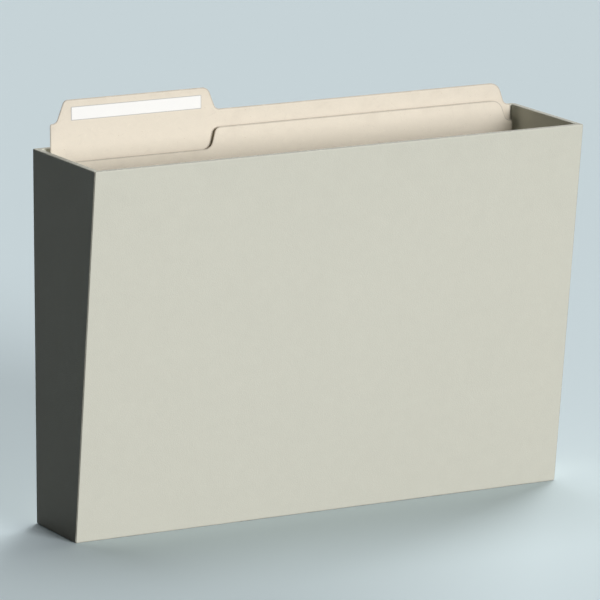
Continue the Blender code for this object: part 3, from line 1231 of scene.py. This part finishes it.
def add_sun(name, azimuth, elevation, softness, level):
    """A soft distant light from an azimuth and elevation in degrees."""
    turn = math.radians(azimuth)
    rise = math.radians(elevation)
    towards = Vector((math.sin(turn) * math.cos(rise), -math.cos(turn) * math.cos(rise), math.sin(rise)))
    lamp = bpy.data.lights.new(name, "SUN")
    lamp.energy = level * math.pi
    lamp.angle = math.radians(softness)
    light = bpy.data.objects.new(name, lamp)
    light.rotation_mode = "QUATERNION"
    light.rotation_quaternion = towards.to_track_quat("Z", "Y")
    bpy.context.scene.collection.objects.link(light)


def set_world(settings):
    """The background's colour where it is seen, and a dim even light elsewhere."""
    world = bpy.data.worlds.new("studio")
    world.use_nodes = True
    nodes = Nodes(world.node_tree)
    dim = nodes.node("ShaderNodeBackground", None, {
        "Color": opaque(FILL_COLOUR), "Strength": settings.fill_level,
    })
    shown = nodes.node("ShaderNodeBackground", None, {
        "Color": opaque(settings.backdrop), "Strength": 1.0,
    })
    split_by_ray(nodes, dim, shown, "World Output")
    bpy.context.scene.world = world


def add_camera():
    """The camera at the photograph's viewing angle."""
    lens = bpy.data.cameras.new("camera")
    lens.lens = CAMERA_LENS
    lens.clip_start = CAMERA_NEAR
    lens.clip_end = CAMERA_FAR
    camera = bpy.data.objects.new("camera", lens)
    camera.location = CAMERA_PLACE
    camera.rotation_euler = Euler((math.pi / 2 - CAMERA_DIP, 0, CAMERA_TURN))
    bpy.context.scene.collection.objects.link(camera)
    bpy.context.scene.camera = camera


class SetStage(bpy.types.Operator):
    """Add the floor, the lights, the background and the camera"""

    bl_idname = "chart_holder.set_stage"
    bl_label = "Set stage"
    bl_options = {"REGISTER", "UNDO"}

    def execute(self, context):
        settings = context.scene.chart_stage
        add_floor(settings)
        for name, (azimuth, elevation, softness) in LIGHTS.items():
            level = getattr(settings, name + "_level")
            add_sun(name + "_light", azimuth, elevation, softness, level)
        set_world(settings)
        add_camera()
        context.scene.view_settings.view_transform = "Standard"
        return {"FINISHED"}


class ChartHolderPanel(bpy.types.Panel):
    """Settings and operators of the chart holder"""

    bl_idname = "VIEW3D_PT_chart_holder"
    bl_label = "Chart Holder"
    bl_space_type = "VIEW_3D"
    bl_region_type = "UI"
    bl_category = "Chart Holder"

    def draw(self, context):
        scene = context.scene
        groups = (
            (scene.chart_panels, (FinishPanels, FillSeams)),
            (scene.chart_folder, (MakeFolder, MakeLabel)),
            (scene.chart_stage, (SetStage,)),
        )
        for settings, operators in groups:
            box = self.layout.box()
            for name in settings.__annotations__:
                box.prop(settings, name)
            for operator in operators:
                box.operator(operator.bl_idname)


# Registration

CLASSES = (
    PanelSettings,
    FolderSettings,
    StageSettings,
    FinishPanels,
    FillSeams,
    MakeFolder,
    MakeLabel,
    SetStage,
    ChartHolderPanel,
)


def register():
    """Register the classes and hang the settings on the scene."""
    for made in CLASSES:
        bpy.utils.register_class(made)
    bpy.types.Scene.chart_panels = PointerProperty(type=PanelSettings)
    bpy.types.Scene.chart_folder = PointerProperty(type=FolderSettings)
    bpy.types.Scene.chart_stage = PointerProperty(type=StageSettings)


def unregister():
    """Take the settings off the scene and unregister the classes."""
    del bpy.types.Scene.chart_stage
    del bpy.types.Scene.chart_folder
    del bpy.types.Scene.chart_panels
    for made in reversed(CLASSES):
        bpy.utils.unregister_class(made)


def main():
    """Make every piece and the stage, in order."""
    register()
    bpy.ops.chart_holder.finish_panels()
    bpy.ops.chart_holder.fill_seams()
    bpy.ops.chart_holder.make_folder()
    bpy.ops.chart_holder.make_label()
    bpy.ops.chart_holder.set_stage()


if __name__ == "__main__":
    main()
